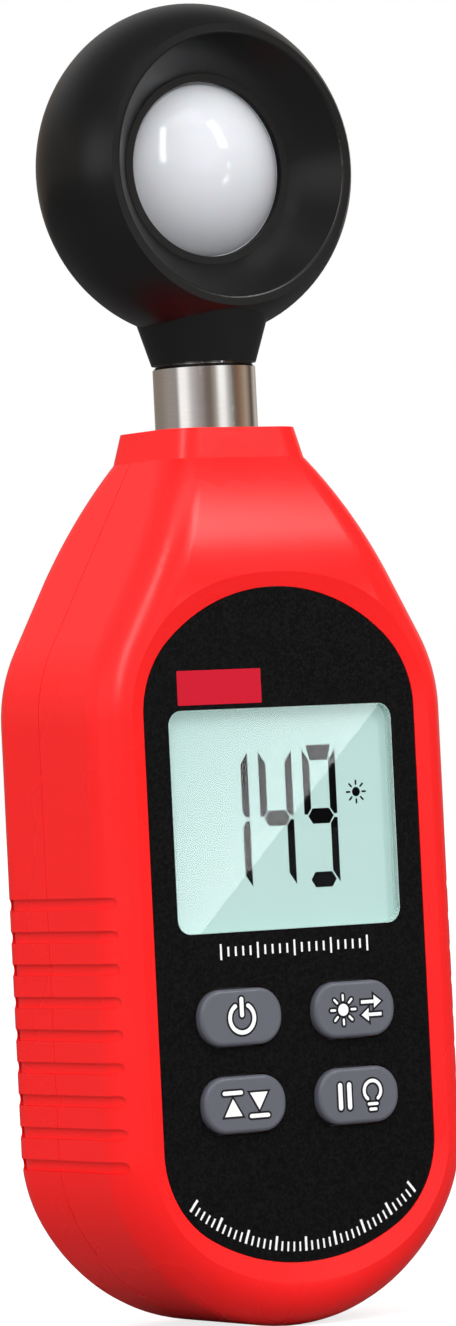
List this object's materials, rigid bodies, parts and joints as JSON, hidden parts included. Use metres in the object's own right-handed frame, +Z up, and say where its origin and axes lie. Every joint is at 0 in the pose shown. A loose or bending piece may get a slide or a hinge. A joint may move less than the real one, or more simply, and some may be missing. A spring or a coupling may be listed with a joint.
{
  "type": "handheld light meter",
  "caption": "Pocket light meter: a two-shell hand-sized case with display and keys, and a round sensor head with a white diffuser that swivels on a steel neck.",
  "frame": {"origin": "under the case, in the middle of its width and depth, at the lowest point of its rounded foot", "axes": "+Z up along the meter's length to the sensor head, -Y out of the display, +X to the user's right as they face the display"},
  "size_m": [0.05, 0.0283, 0.161],
  "materials": {
    "case_red": "satin moulded ABS",
    "panel_black": "fine grained",
    "window_clear": "clear acrylic",
    "display_glass": "grey green liquid crystal glass",
    "guide_clear": "clear acrylic",
    "moulded_white": "natural white",
    "zebra_rubber": "soft",
    "mat_rubber": "silicone",
    "key_grey": "satin moulded",
    "board_green": "solder mask",
    "chip_black": "epoxy",
    "can_metal": "stamped",
    "steel_dark": "black zinc",
    "steel_tube": "fine turned",
    "contact_metal": "nickel plated",
    "cell_wrap": "printed film sleeve",
    "lead_jacket": "soft jacket",
    "head_black": "satin moulded",
    "dome_white": "opal diffuser",
    "filter_green": "correction glass"
  },
  "bodies": {
    "case": {"front_shell": "case_red", "rear_shell": "case_red", "front_panel": "panel_black", "display_window": "window_clear", "lcd_glass": "display_glass", "lcd_frame": "moulded_white", "light_guide": "guide_clear", "backlight_lamp": "moulded_white", "zebra_strip": "zebra_rubber", "keypad_mat": "mat_rubber", "main_board": "board_green", "controller_chip": "chip_black", "wireless_module": "can_metal", "lead_plug": "moulded_white", "case_screws": "steel_dark", "board_screws": "steel_dark", "neck_tube": "steel_tube", "sensor_lead": "lead_jacket", "snap_disc_1": "contact_metal", "snap_disc_2": "contact_metal", "snap_disc_3": "contact_metal", "snap_disc_4": "contact_metal", "battery_cell_1": "cell_wrap", "battery_spring_1": "contact_metal", "battery_cell_2": "cell_wrap", "battery_spring_2": "contact_metal", "battery_cell_3": "cell_wrap", "battery_spring_3": "contact_metal", "contact_low_bridge": "contact_metal", "contact_low_end": "contact_metal", "contact_high_end": "contact_metal", "contact_high_bridge": "contact_metal"},
    "head": {"head_front_shell": "head_black", "head_rear_shell": "head_black", "diffuser_dome": "dome_white", "light_baffle": "panel_black", "correction_filter": "filter_green", "photodiode": "chip_black", "sensor_board": "board_green", "sensor_plug": "moulded_white", "head_screws": "steel_dark", "swivel_spindle": "steel_tube", "friction_ring": "zebra_rubber", "stop_washer": "steel_tube", "retaining_clip": "steel_dark"},
    "power_key": {"key_power": "key_grey"},
    "unit_key": {"key_unit": "key_grey"},
    "max_min_key": {"key_max_min": "key_grey"},
    "hold_key": {"key_hold": "key_grey"},
    "cell_door": {"battery_door": "case_red"}
  },
  "joints": [
    {"name": "head_swivel", "type": "hinge", "parent": "case", "child": "head", "pos_m": [0, 0, 0.106], "axis": [0, 0, 1], "range_deg": [-90, 180]},
    {"name": "power_key_press", "type": "slide", "parent": "case", "child": "power_key", "axis": [0, 1, 0], "range_m": [0, 0.0006], "stiffness_N_per_m": 2000},
    {"name": "unit_key_press", "type": "slide", "parent": "case", "child": "unit_key", "axis": [0, 1, 0], "range_m": [0, 0.0006], "stiffness_N_per_m": 2000},
    {"name": "max_min_key_press", "type": "slide", "parent": "case", "child": "max_min_key", "axis": [0, 1, 0], "range_m": [0, 0.0006], "stiffness_N_per_m": 2000},
    {"name": "hold_key_press", "type": "slide", "parent": "case", "child": "hold_key", "axis": [0, 1, 0], "range_m": [0, 0.0006], "stiffness_N_per_m": 2000},
    {"name": "cell_door_tilt", "type": "hinge", "parent": "case", "child": "cell_door", "pos_m": [0, 0.012, 0.016], "axis": [-1, 0, 0], "range_deg": [0, 45]}
  ]
}
